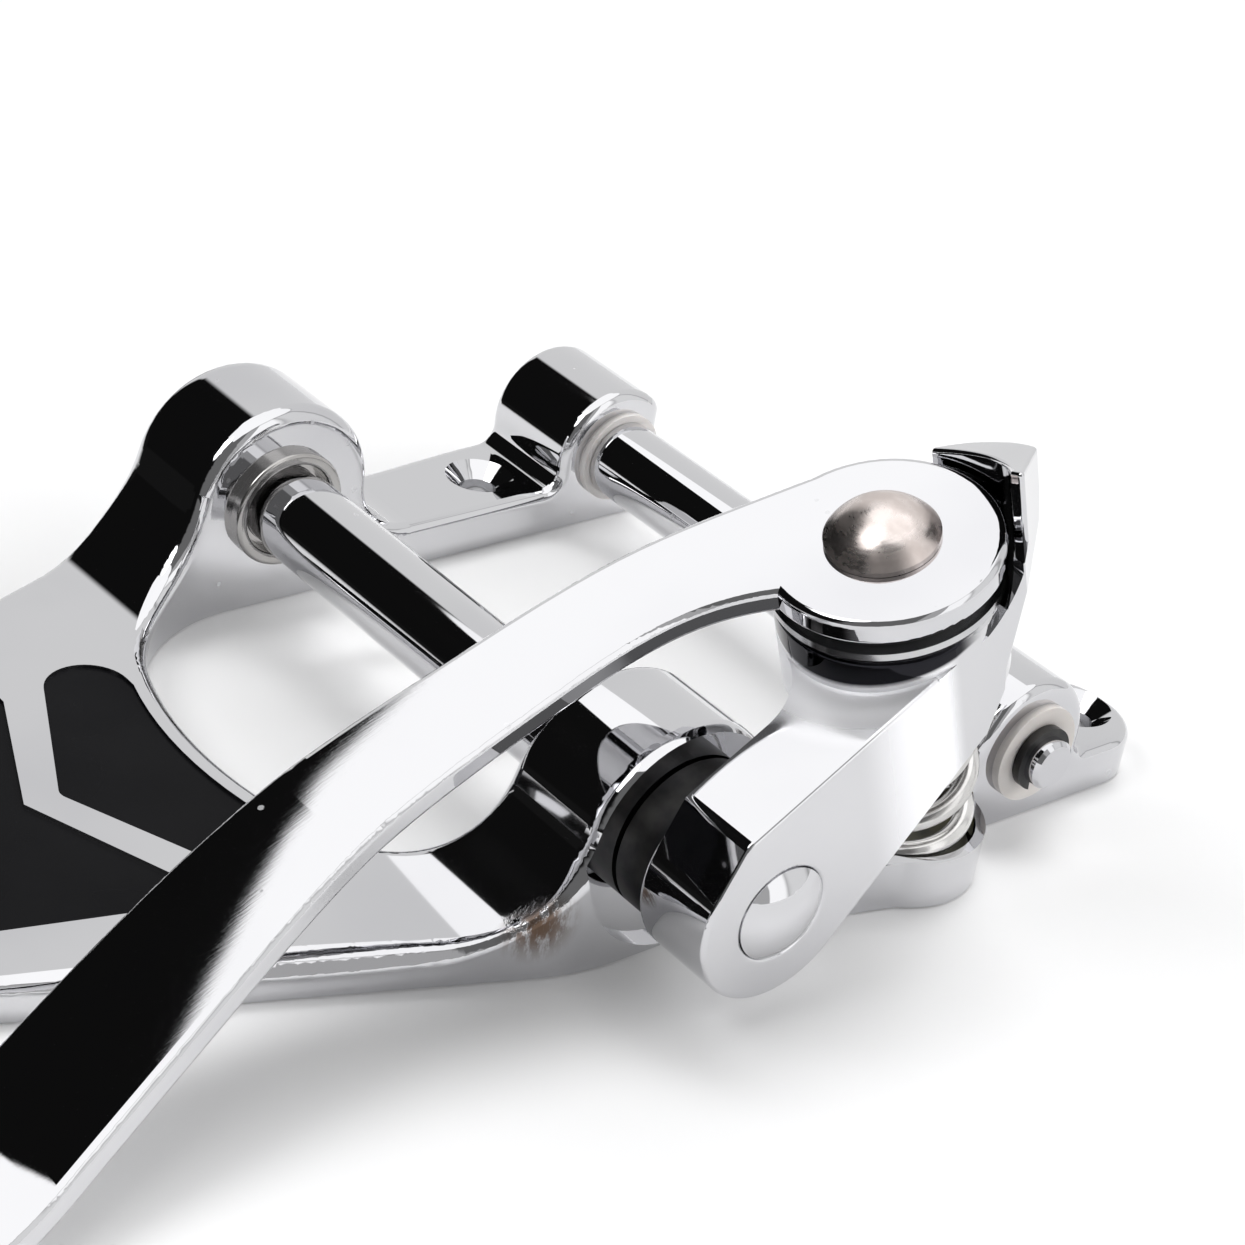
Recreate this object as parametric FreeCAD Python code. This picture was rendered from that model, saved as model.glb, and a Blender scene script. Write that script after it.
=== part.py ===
import FreeCAD, Part
import math
import os

os.makedirs("parts", exist_ok=True)

# Vibrato tailpiece for an electric guitar. Millimetres, +Z up, +Y towards the neck,
# +X towards the treble side. The frame's underside is z = 0 and the origin lies midway
# between the two front screw holes.

# Driving sizes of the frame
bar_spacing = 45.6
screw_half_x = 33.5
screw_half_y = 14.5
bar_behind_screws = 0.4
wall_inner = 26.8
wall_outer = 40.5
plate_height = 4.0
leg_height = 4.9
flare_share = 0.369
tail_reach = 71.0
tail_corner_r = 5.0
opening_reach = 25.2
opening_tail_r = 45.0
opening_corner_r = 18.0
bass_leg_past_bar = 6.6
flare_r = 25.0
foot_past_bar = 19.6
foot_corner_r = 6.0
leg_corner_r = 2.5
edge_round = 1.2
boss_inner_round = 1.7
boss_outer_round = 2.7

# Main shaft, its bosses and bearings
shaft_height = 11.5
shaft_d = 9.5
journal_d = 8.8
boss_d = 22.0
boss_flank_r = 13.0
boss_flank_degrees = 17.0
spot_face_d = 22.6
spot_face_depth = 1.2
bearing_d = 13.0
bearing_length = 10.0
bearing_proud = 1.3
bearing_relief = 1.7
bearing_lip = 1.3
bearing_round = 0.45
shoulder_gap = 2.6
shoulder_chamfer = 0.35
shaft_dome = 1.6
running_gap = 0.05
spacer_d = 16.0
spacer_gap = 0.3
string_count = 6
string_pitch = 9.6
string_pin_d = 2.4
string_pin_reach = 4.4
string_pin_seat = 2.0
string_pin_degrees = -38.0

# Front roller, its bosses, bushings and clips
bar_height = 8.0
bar_d = 9.0
bar_boss_d = 15.4
bar_boss_root_r = 2.0
stub_d = 5.4
bushing_d = 7.8
bushing_flange_d = 10.6
bushing_flange = 0.9
bushing_depth = 5.2
bushing_end_gap = 0.1
clip_d = 7.0
clip_thickness = 0.9
clip_gap = 0.1
clip_inner_d = 4.6
clip_mouth = 3.2
clip_prong = 1.7
clip_prong_degrees = 118.0
clip_turn_degrees = -84.0
groove_d = 4.0
stub_past_clip = 1.5
stub_chamfer = 0.4

# Countersunk screw holes
screw_d = 4.4
screw_head_d = 7.8
tail_screw_half = 9.5
tail_screw_inset = 6.5

# Shallow recesses filled with enamel
recess_depth = 0.8
enamel_thickness = 0.5
panel_margin = 2.3
lobe_r = 4.3
lobe_x = 14.6
lobe_y = 29.9
apex_r = 1.5
apex_y = 39.8
chevron_y = 45.1
chevron_share = 0.42
shoulder_r = 2.6
shoulder_margin = 12.5
shoulder_y = 41.0
heel_r = 2.6
heel_margin = 10.5
heel_inset = 12.8

# Spring cup beside the treble leg
cup_x = 39.4
cup_behind_bar = 17.0
cup_r = 8.9
cup_height = 5.2
cup_pocket_r = 7.9
cup_floor = 1.6
gusset_back_y = 9.0
gusset_x = 45.3
gusset_behind_cup = 10.1
gusset_share = 0.86
gusset_drop_share = 0.36
pad_thickness = 1.0
pad_gap = 0.2

# Rocker bracket, drawn square to the arm's swivel axis
pivot_x = 42.7
pivot_y = 14.2
pivot_z = 41.0
pivot_degrees = 21.0
bracket_outer = 53.1
hub_inner = 44.0
hub_d = 18.1
neck_inner = 44.4
deck_drop = 7.45
deck_fall_share = 0.179
deck_tail = 26.0
seat_r = 10.5
seat_drop = 5.4
web_front = 5.0
web_mid = 3.8
web_mid_drop = 14.7
web_low = 1.0
web_low_drop = 19.0
body_drop = 15.2
nose_inner_gap = 0.45
nose_round = 0.35
face_round = 0.4
deck_round = 1.8
hub_round = 0.6
seat_round = 0.5
nose_corner_u = 3.4
nose_corner_w = 15.7
nose_side_w = 7.2
nose_round_u = -1.4
nose_round_w = 15.3
nose_tip_u = -4.9
nose_tip_w = 10.7
nose_mid_u = 1.16
nose_mid_w = 11.44
nose_mid_height = 2.87
nose_rise_share = 0.407
nose_fall_share = 0.353
nose_taper_share = 0.38
nose_taper_drop = 2.0
side_taper_share = 0.26
side_taper_drop = 5.0
ledge_back = 7.0
ledge_front = 8.8
ledge_drop = 1.4
ramp_back = 3.6
ramp_back_drop = 8.0
ramp_mid = 3.6
ramp_mid_drop = 6.3
ramp_front_drop = 2.5
neck_fillet = 6.5
pocket_drop = 13.6
pocket_r = 8.0
pocket_shift = 1.0

# Arm
eye_r = 11.05
arm_thickness = 2.6
arm_flat = 52.0
arm_sag_degrees = 3.0
arm_sag_r = 60.0
arm_slope_run = 35.5
arm_level_r = 24.0
arm_top_round = 0.8
arm_low_round = 0.5
arm_bass_points = ((-10.9, 1.6), (-12.6, -4.2), (-15.5, -16.0), (-16.5, -35.0), (-15.9, -56.0),
                   (-12.6, -74.5), (-7.6, -93.0), (-3.4, -107.0))
arm_treble_points = ((-1.6, -10.8), (-4.5, -16.0), (-5.9, -33.0), (-4.3, -52.0), (1.1, -72.0),
                     (7.4, -92.0), (12.6, -107.5))
arm_tip = (7.2, -115.5)

# Pivot bolt, washers and nut under the arm's eye
pivot_bolt_d = 6.4
dome_r = 5.3
dome_height = 2.9
dome_rim = 0.5
slip_gap = 0.05
friction_washer_r = 9.6
friction_washer = 1.3
flat_washer_r = 10.8
flat_washer = 0.75
spring_washer_r = 10.0
nut_r = 4.2
nut_height = 3.8
nut_sides = 6
bolt_past_nut = 0.8

# Main spring
wire_d = 2.0
coil_r = 6.5
end_pitch = 2.6
end_turns = 0.9
middle_turns = 3.5
ease_turns = 0.7
seat_gap = 0.06
spring_start_degrees = 100.0
spring_steps = 22

# A slope under this counts as upright
level_share = 0.001

# Reach of cutting bodies, past everything
far = 150.0

up = FreeCAD.Vector(0, 0, 1)
boss_r = boss_d / 2
bar_boss_r = bar_boss_d / 2
shaft_r = shaft_d / 2
bar_y = bar_spacing
front_y = bar_spacing + bar_behind_screws
bass_leg_front = bar_y + bass_leg_past_bar
foot_front = bar_y + foot_past_bar
cup_y = bar_y - cup_behind_bar
gusset_y = cup_y - gusset_behind_cup
right_angle = 90


def vec(x, y, z):
    return FreeCAD.Vector(x, y, z)


def line(a, b):
    return Part.makeLine(a, b)


def arc(a, b, c):
    return Part.Arc(a, b, c).toShape()


def round_point(cx, cy, r, degrees):
    a = math.radians(degrees)
    return cx + r * math.cos(a), cy + r * math.sin(a)


def rod_x(x0, x1, y, z, r):
    return Part.makeCylinder(r, x1 - x0, vec(x0, y, z), vec(1, 0, 0))


def post(x, y, z0, z1, r):
    return Part.makeCylinder(r, z1 - z0, vec(x, y, z0))


def block(x0, x1, y0, y1, z0, z1):
    return Part.makeBox(x1 - x0, y1 - y0, z1 - z0, vec(x0, y0, z0))


def flat_face(points, place):
    ring = [place(a, b) for a, b in points]
    return Part.Face(Part.makePolygon(ring + ring[:1]))


def prism(points, z0, z1):
    return flat_face(points, lambda a, b: vec(a, b, z0)).extrude(vec(0, 0, z1 - z0))


def prism_x(points, x0, x1):
    return flat_face(points, lambda a, b: vec(x0, a, b)).extrude(vec(x1 - x0, 0, 0))


def turned_x(points, y, z):
    """A solid turned about an axis along X, from (x, radius) points."""
    face = flat_face(points, lambda a, b: vec(a, y + b, z))
    return face.revolve(vec(0, y, z), vec(1, 0, 0), 360)


def turned_z(points, degrees=360):
    """A solid turned about the Z axis, from (radius, z) points."""
    return flat_face(points, lambda a, b: vec(a, 0, b)).revolve(vec(0, 0, 0), up, degrees)


def strip_corners(c1, r1, c2, r2):
    """The four outer tangent points of two circles."""
    dx = c2[0] - c1[0]
    dy = c2[1] - c1[1]
    base = math.atan2(dy, dx)
    lean = math.acos((r1 - r2) / math.hypot(dx, dy))
    corners = []
    for c, r, side in ((c1, r1, 1), (c2, r2, 1), (c2, r2, -1), (c1, r1, -1)):
        corners.append((c[0] + r * math.cos(base + side * lean), c[1] + r * math.sin(base + side * lean)))
    return corners


def capsule(c1, r1, c2, r2, z0, z1):
    strip = prism(strip_corners(c1, r1, c2, r2), z0, z1)
    return strip.fuse([post(c1[0], c1[1], z0, z1, r1), post(c2[0], c2[1], z0, z1, r2)])


def joined(shapes):
    return shapes[0].fuse(shapes[1:]).removeSplitter()


def mirrored(shape):
    return shape.mirror(vec(0, 0, 0), vec(1, 0, 0))


def save(name, shape):
    placed = shape.copy()
    placed.translate(vec(0, -front_y, 0))
    if len(placed.Solids) == 1:
        placed = placed.Solids[0]
    placed.exportStep("parts/" + name + ".step")
    print(name, "solids", len(placed.Solids), "valid", placed.isValid(), "volume", round(placed.Volume, 1))


def side_profile():
    """Plate, main boss, leg, roller boss and foot seen from the side, as one outline."""
    lean = math.radians(boss_flank_degrees)
    meet_y, meet_z = round_point(0, shaft_height, boss_r, 180 - boss_flank_degrees)
    toe_y = meet_y - (meet_z - plate_height) * math.tan(lean)
    turn = math.pi / 2 - lean
    run = boss_flank_r * math.tan(turn / 2)
    start_y = toe_y - run
    end_y = toe_y + run * math.sin(lean)
    end_z = plate_height + run * math.cos(lean)
    mid_y = start_y + boss_flank_r * math.sin(turn / 2)
    mid_z = plate_height + boss_flank_r * (1 - math.cos(turn / 2))
    front_r = shaft_height - leg_height
    half_share = 1 - math.sqrt(1 / 2)
    root_z = leg_height + bar_boss_root_r
    root_half = math.sqrt((bar_boss_r + bar_boss_root_r) ** 2 - (root_z - bar_height) ** 2)
    touch_share = bar_boss_r / (bar_boss_r + bar_boss_root_r)
    touch_half = root_half * touch_share
    touch_z = bar_height + (root_z - bar_height) * touch_share
    bow = (math.degrees(math.atan2(bar_height - root_z, root_half)) - right_angle) / 2
    bow_y, bow_z = round_point(-root_half, root_z, bar_boss_root_r, bow)

    def at(y, z):
        return vec(-far, y, z)

    edges = [
        line(at(-tail_reach, 0), at(-tail_reach, plate_height)),
        line(at(-tail_reach, plate_height), at(start_y, plate_height)),
        arc(at(start_y, plate_height), at(mid_y, mid_z), at(end_y, end_z)),
        line(at(end_y, end_z), at(meet_y, meet_z)),
        arc(at(meet_y, meet_z), at(0, shaft_height + boss_r), at(boss_r, shaft_height)),
        arc(at(boss_r, shaft_height),
            at(boss_r + front_r * half_share, leg_height + front_r * half_share),
            at(boss_r + front_r, leg_height)),
        line(at(boss_r + front_r, leg_height), at(bar_y - root_half, leg_height)),
        arc(at(bar_y - root_half, leg_height), at(bar_y + bow_y, bow_z), at(bar_y - touch_half, touch_z)),
        arc(at(bar_y - touch_half, touch_z), at(bar_y, bar_height + bar_boss_r),
            at(bar_y + touch_half, touch_z)),
        arc(at(bar_y + touch_half, touch_z), at(bar_y - bow_y, bow_z), at(bar_y + root_half, leg_height)),
        line(at(bar_y + root_half, leg_height), at(foot_front, leg_height)),
        line(at(foot_front, leg_height), at(foot_front, 0)),
        line(at(foot_front, 0), at(-tail_reach, 0)),
    ]
    return Part.Face(Part.Wire(edges)).extrude(vec(2 * far, 0, 0))


opening_centre_y = opening_tail_r - opening_reach
flare = math.degrees(math.atan(flare_share))
flare_y = flare_r * math.tan(math.radians(flare / 2)) - boss_r
bend_x, bend_y = round_point(wall_outer - flare_r, flare_y, flare_r, -flare)


def plate_half(y):
    """Half the plate's width behind the bosses."""
    return bend_x - flare_share * (bend_y - y)


def plan_profile():
    """The frame seen from above: a plate that flares into two legs round a U-shaped opening."""
    bow_x, bow_y = round_point(wall_outer - flare_r, flare_y, flare_r, -flare / 2)
    tail_half = plate_half(-tail_reach)
    t = tail_corner_r
    heel_turn = right_angle - flare
    heel_run = t * math.tan(math.radians(heel_turn / 2))
    heel_cx = tail_half - heel_run
    heel_cy = t - tail_reach
    heel_x1, heel_y1 = round_point(heel_cx, heel_cy, t, -flare)
    heel_x2, heel_y2 = round_point(heel_cx, heel_cy, t, -(right_angle + flare) / 2)
    corner_x = wall_inner - opening_corner_r
    reach = opening_tail_r - opening_corner_r
    corner_y = opening_centre_y - math.sqrt(reach ** 2 - corner_x ** 2)
    swing = math.degrees(math.atan2(corner_y - opening_centre_y, corner_x))
    join_x, join_y = round_point(corner_x, corner_y, opening_corner_r, swing)
    mid_x, mid_y = round_point(corner_x, corner_y, opening_corner_r, swing / 2)
    k = leg_corner_r
    f = foot_corner_r

    def at(x, y):
        return vec(x, y, 0)

    def rounded(cx, cy, r, start, end):
        return arc(*[at(*round_point(cx, cy, r, d)) for d in (start, (start + end) / 2, end)])

    edges = [
        arc(at(-heel_cx, -tail_reach), at(-heel_x2, heel_y2), at(-heel_x1, heel_y1)),
        line(at(-heel_x1, heel_y1), at(-bend_x, bend_y)),
        arc(at(-bend_x, bend_y), at(-bow_x, bow_y), at(-wall_outer, flare_y)),
        line(at(-wall_outer, flare_y), at(-wall_outer, bass_leg_front - k)),
        rounded(k - wall_outer, bass_leg_front - k, k, 180, 90),
        line(at(k - wall_outer, bass_leg_front), at(-wall_inner - k, bass_leg_front)),
        rounded(-wall_inner - k, bass_leg_front - k, k, 90, 0),
        line(at(-wall_inner, bass_leg_front - k), at(-wall_inner, corner_y)),
        arc(at(-wall_inner, corner_y), at(-mid_x, mid_y), at(-join_x, join_y)),
        arc(at(-join_x, join_y), at(0, -opening_reach), at(join_x, join_y)),
        arc(at(join_x, join_y), at(mid_x, mid_y), at(wall_inner, corner_y)),
        line(at(wall_inner, corner_y), at(wall_inner, foot_front - f)),
        rounded(wall_inner + f, foot_front - f, f, 180, 90),
        line(at(wall_inner + f, foot_front), at(wall_outer - f, foot_front)),
        rounded(wall_outer - f, foot_front - f, f, 90, 0),
        line(at(wall_outer, foot_front - f), at(wall_outer, flare_y)),
        arc(at(wall_outer, flare_y), at(bow_x, bow_y), at(bend_x, bend_y)),
        line(at(bend_x, bend_y), at(heel_x1, heel_y1)),
        arc(at(heel_x1, heel_y1), at(heel_x2, heel_y2), at(heel_cx, -tail_reach)),
        line(at(heel_cx, -tail_reach), at(-heel_cx, -tail_reach)),
    ]
    return Part.Face(Part.Wire(edges)).extrude(vec(0, 0, far))


# The frame's blank, then its rounded top edges
frame = plan_profile().common(side_profile()).removeSplitter()


def upper_edge(edge):
    """An edge between an upright wall and the top, so not one across the top."""
    if edge.BoundBox.ZMax < plate_height - slip_gap:
        return False
    start, end = edge.ParameterRange
    along = edge.tangentAt((start + end) / 2)
    faces = frame.ancestorsOfType(edge, Part.Face)
    upright = [f for f in faces if wall_like(f)]
    return len(upright) == 1 and abs(along.z) < 1


def wall_like(face):
    u0, u1, v0, v1 = face.ParameterRange
    return abs(face.normalAt((u0 + u1) / 2, (v0 + v1) / 2).z) < 1e-6 and face.BoundBox.ZMin < slip_gap


def rounding(point):
    """Radius of the rounding at a point of a top edge: it grows up the main bosses, most outside."""
    boss_round = boss_outer_round if abs(point.x) > (wall_inner + wall_outer) / 2 else boss_inner_round
    climbed = (point.z - leg_height) / (shaft_height - leg_height)
    share = min(max(climbed, 0), 1) if point.y < bar_y / 2 else 0
    return edge_round + (boss_round - edge_round) * share


document = FreeCAD.newDocument("tailpiece")
blank = document.addObject("Part::Feature", "blank")
blank.Shape = frame
rounded = document.addObject("Part::Fillet", "rounded")
rounded.Base = blank
rounds = []
for number, edge in enumerate(frame.Edges, 1):
    if upper_edge(edge):
        ends = [edge.valueAt(place) for place in edge.ParameterRange]
        rounds.append((number, rounding(ends[0]), rounding(ends[1])))
rounded.Edges = rounds
document.recompute()
frame = rounded.Shape
print("rounded edges", len(rounds), "valid", frame.isValid())

# Spring cup and its gusset on the treble leg
gusset = prism(((wall_outer - leg_corner_r, gusset_back_y), (wall_outer, gusset_back_y),
                (gusset_x, gusset_y), (cup_x + cup_r * gusset_share, cup_y - cup_r * gusset_drop_share),
                (cup_x, cup_y)), 0, cup_height)
frame = joined([frame, gusset, post(cup_x, cup_y, 0, cup_height, cup_r)])
frame = frame.cut(post(cup_x, cup_y, cup_floor, far, cup_pocket_r))

# Bores for the shaft bearings and the roller bushings
bearing_end = wall_inner + bearing_length
frame = frame.cut(rod_x(-bearing_end, 0, 0, shaft_height, bearing_d / 2))
frame = frame.cut(rod_x(0, far, 0, shaft_height, bearing_d / 2))
treble_face = wall_outer - spot_face_depth
frame = frame.cut(rod_x(treble_face, far, 0, shaft_height, spot_face_d / 2))
frame = frame.cut(rod_x(-far, far, bar_y, bar_height, bushing_d / 2))

# Countersunk holes, two at the front and two at the tail
tail_screw_y = tail_screw_inset - tail_reach
screw_places = ((-screw_half_x, front_y - screw_half_y, leg_height),
                (screw_half_x, front_y + screw_half_y, leg_height),
                (-tail_screw_half, tail_screw_y, plate_height),
                (tail_screw_half, tail_screw_y, plate_height))
for x, y, top in screw_places:
    sink = (screw_head_d - screw_d) / 2
    cone = Part.makeCone(screw_d / 2, screw_head_d / 2, sink, vec(x, y, top - sink))
    shank = post(x, y, 0, far, screw_d / 2)
    frame = frame.cut(joined([shank, cone, post(x, y, top, far, screw_head_d / 2)]))


def front_panel(z0, z1):
    left = (-lobe_x, -lobe_y)
    right = (lobe_x, -lobe_y)
    apex = (0, -apex_y)
    sides = [capsule(left, lobe_r, apex, apex_r, z0, z1), capsule(right, lobe_r, apex, apex_r, z0, z1),
             capsule(left, lobe_r, right, lobe_r, z0, z1), prism((left, right, apex), z0, z1)]
    inner = post(0, opening_centre_y, z0 - far, z1 + far, opening_tail_r + panel_margin)
    return joined(sides).cut(inner)


def tail_panel(z0, z1):
    heel_y = tail_reach - heel_inset
    heel_x = plate_half(-heel_y) - heel_margin
    shoulder_x = plate_half(-shoulder_y) - shoulder_margin
    corners = ((-shoulder_x, -shoulder_y, shoulder_r), (shoulder_x, -shoulder_y, shoulder_r),
               (heel_x, -heel_y, heel_r), (-heel_x, -heel_y, heel_r))
    parts = [prism([c[:2] for c in corners], z0, z1)]
    for one, two in zip(corners, corners[1:] + corners[:1]):
        parts.append(capsule(one[:2], one[2], two[:2], two[2], z0, z1))
    wing = far * chevron_share
    chevron = prism(((0, -chevron_y), (far, wing - chevron_y), (-far, wing - chevron_y)), z0 - far, z1 + far)
    return joined(parts).cut(chevron)


recess_floor = plate_height - recess_depth
frame = frame.cut([front_panel(recess_floor, far), tail_panel(recess_floor, far)])
save("base_frame", frame)
save("front_panel", front_panel(recess_floor, recess_floor + enamel_thickness))
save("tail_panel", tail_panel(recess_floor, recess_floor + enamel_thickness))

# Main shaft: necked at the bass end, full size through the treble bearing and the hub, domed outside
journal_r = journal_d / 2
shaft_bass = running_gap * 4 - bearing_end
shoulder = shoulder_gap - wall_inner
c = shoulder_chamfer
body = turned_x(((shaft_bass, 0), (shaft_bass, journal_r - c), (shaft_bass + c, journal_r),
                 (shoulder, journal_r), (shoulder + c, shaft_r), (bracket_outer, shaft_r),
                 (bracket_outer, 0)), 0, shaft_height)
ball_r = (shaft_r ** 2 + shaft_dome ** 2) / (2 * shaft_dome)
ball = Part.makeSphere(ball_r, vec(bracket_outer + shaft_dome - ball_r, 0, shaft_height))
cap = ball.common(rod_x(bracket_outer, far, 0, shaft_height, ball_r))
shaft = joined([body, cap])

# String pins, seated in the shaft below its front
pins = []
for i in range(string_count):
    x = (i - (string_count - 1) / 2) * string_pitch
    lean = math.radians(string_pin_degrees)
    out = vec(0, math.cos(lean), math.sin(lean))
    foot = vec(x, 0, shaft_height) + out * (shaft_r - string_pin_seat)
    pins.append(Part.makeCylinder(string_pin_d / 2, string_pin_seat + string_pin_reach, foot, out))
save("main_shaft", shaft.cut(pins))
save("string_pins", Part.makeCompound(pins))


def bearing(inner_r, x0, x1):
    """A drawn cup with a lip round each end and a shallow step on its faces."""
    outer_r = bearing_d / 2
    step_r = outer_r - bearing_lip
    step0 = x0 + bearing_relief
    step1 = x1 - bearing_relief
    cup = turned_x(((step0, inner_r), (step0, step_r), (x0, step_r), (x0, outer_r),
                    (x1, outer_r), (x1, step_r), (step1, step_r), (step1, inner_r)), 0, shaft_height)
    rims = [e for e in cup.Edges if e.BoundBox.XLength < slip_gap]
    lips = [e for e in rims if min(abs(e.BoundBox.XMin - x0), abs(e.BoundBox.XMin - x1)) < slip_gap]
    return cup.makeFillet(bearing_round, lips)


save("bass_bearing", bearing(journal_r + running_gap, -bearing_end, bearing_proud - wall_inner))
save("treble_bearing", bearing(shaft_r + running_gap, wall_inner - bearing_proud, treble_face))
save("shaft_spacer", rod_x(treble_face + spacer_gap, hub_inner, 0, shaft_height, spacer_d / 2).cut(shaft))

# Front roller with grooved ends, flanged bushings and clips
inner_face = wall_inner - bushing_flange
outer_face = wall_outer + bushing_flange
clip_inner = outer_face + clip_gap
clip_outer = clip_inner + clip_thickness
stub_end = clip_outer + stub_past_clip
bar_half = inner_face - clip_gap
stub_r = stub_d / 2
groove_r = groove_d / 2
k = stub_chamfer
half = [(bar_half, bar_d / 2), (bar_half, stub_r), (clip_inner, stub_r), (clip_inner, groove_r),
        (clip_outer, groove_r), (clip_outer, stub_r), (stub_end - k, stub_r), (stub_end, stub_r - k)]
outline = half + [(stub_end, 0), (-stub_end, 0)]
outline += [(-x, r) for x, r in reversed(half)]
save("tension_bar", turned_x(outline, bar_y, bar_height))


def bushing(x0, x1, flange_at, flange_to):
    sleeve = rod_x(x0, x1, bar_y, bar_height, bushing_d / 2)
    flange = rod_x(flange_at, flange_to, bar_y, bar_height, bushing_flange_d / 2)
    bore = rod_x(-far, far, bar_y, bar_height, stub_r + running_gap)
    return joined([sleeve, flange]).cut(bore)


inner_bushing = bushing(inner_face, wall_inner + bushing_depth, inner_face, wall_inner)
outer_bushing = bushing(wall_outer - bushing_depth, outer_face, wall_outer, outer_face)
save("treble_inner_bushing", inner_bushing)
save("treble_outer_bushing", outer_bushing)
save("bass_inner_bushing", mirrored(inner_bushing))
save("bass_outer_bushing", mirrored(outer_bushing))


def clip_piece(half_width, y0, y1):
    return block(clip_inner, clip_outer, bar_y + y0, bar_y + y1,
                 bar_height - half_width, bar_height + half_width)


clip = rod_x(clip_inner, clip_outer, bar_y, bar_height, clip_d / 2)
clip = clip.cut(rod_x(-far, far, bar_y, bar_height, clip_inner_d / 2))
clip = clip.cut(clip_piece(clip_mouth / 2, 0, clip_d))
prong = clip_piece(clip_prong / 2, -(clip_d + clip_inner_d) / 4, -groove_r)
prongs = [prong]
for turn in (clip_prong_degrees, -clip_prong_degrees):
    side = prong.copy()
    side.rotate(vec(0, bar_y, bar_height), vec(1, 0, 0), turn)
    prongs.append(side)
clip = joined([clip] + prongs).cut(rod_x(-far, far, bar_y, bar_height, groove_r))
clip.rotate(vec(0, bar_y, bar_height), vec(1, 0, 0), clip_turn_degrees)
save("treble_clip", clip)
save("bass_clip", mirrored(clip))

# Frame of the arm's swivel: X stays, Z becomes the swivel axis
swivel = FreeCAD.Placement(vec(pivot_x, pivot_y, pivot_z), FreeCAD.Rotation(vec(1, 0, 0), pivot_degrees))
axis = swivel.Rotation.multVec(up)


def tilted(shape):
    placed = shape.copy()
    placed.Placement = swivel.multiply(placed.Placement)
    return placed


# Rocker bracket: hub, neck, seat, spring pocket and the nose that stops the arm
hub_at = swivel.inverse().multVec(vec(pivot_x, 0, shaft_height))
hub_w = hub_at.y
hub_h = hub_at.z
hub_r = hub_d / 2
face_u = bracket_outer - pivot_x
neck_u = neck_inner - pivot_x


def touch(w, h, side):
    """The point where a straight side from (w, h) touches the hub."""
    dw = w - hub_w
    dh = h - hub_h
    lean = math.acos(hub_r / math.hypot(dw, dh))
    turn = math.atan2(dh, dw) + side * lean
    return hub_w + hub_r * math.cos(turn), hub_h + hub_r * math.sin(turn)




def deck_height(w):
    """The deck slopes down from the seat towards the hub."""
    return deck_fall_share * w - deck_drop


deck_end = (-deck_tail, deck_height(-deck_tail))
neck = prism_x((deck_end, (web_front, deck_height(web_front)), (web_mid, -web_mid_drop),
                (web_low, -web_low_drop), touch(web_low, -web_low_drop, -1), (hub_w, hub_h),
                touch(*deck_end, 1)), neck_u, face_u)
hub_u = hub_inner - pivot_x
hub = rod_x(hub_u, face_u, hub_w, hub_h, hub_r)
hub = hub.makeFillet(hub_round, [edge for edge in hub.Edges if edge.BoundBox.XMax < hub_u + slip_gap])
seat = post(0, 0, -body_drop, -seat_drop, seat_r)
seat_rim = [edge for edge in seat.Edges if edge.BoundBox.ZMin > -seat_drop - slip_gap]
seat = seat.makeFillet(seat_round, seat_rim)
seat = seat.common(block(-far, face_u, -far, far, -far, far))
blend_u = neck_u - neck_fillet
blend_w = -math.sqrt((seat_r + neck_fillet) ** 2 - blend_u ** 2)
blend_share = seat_r / (seat_r + neck_fillet)
blend = prism(((neck_u, blend_w), (blend_u * blend_share, blend_w * blend_share), (0, 0), (neck_u, 0)),
              -body_drop, 0)
over_deck = ((-far, deck_height(-far)), (far, deck_height(far)), (far, far), (-far, far))
above_deck = prism_x(over_deck, -far, far)
blend = blend.cut([post(blend_u, blend_w, -far, far, neck_fillet), above_deck])
nose_r = eye_r + nose_inner_gap


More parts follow.
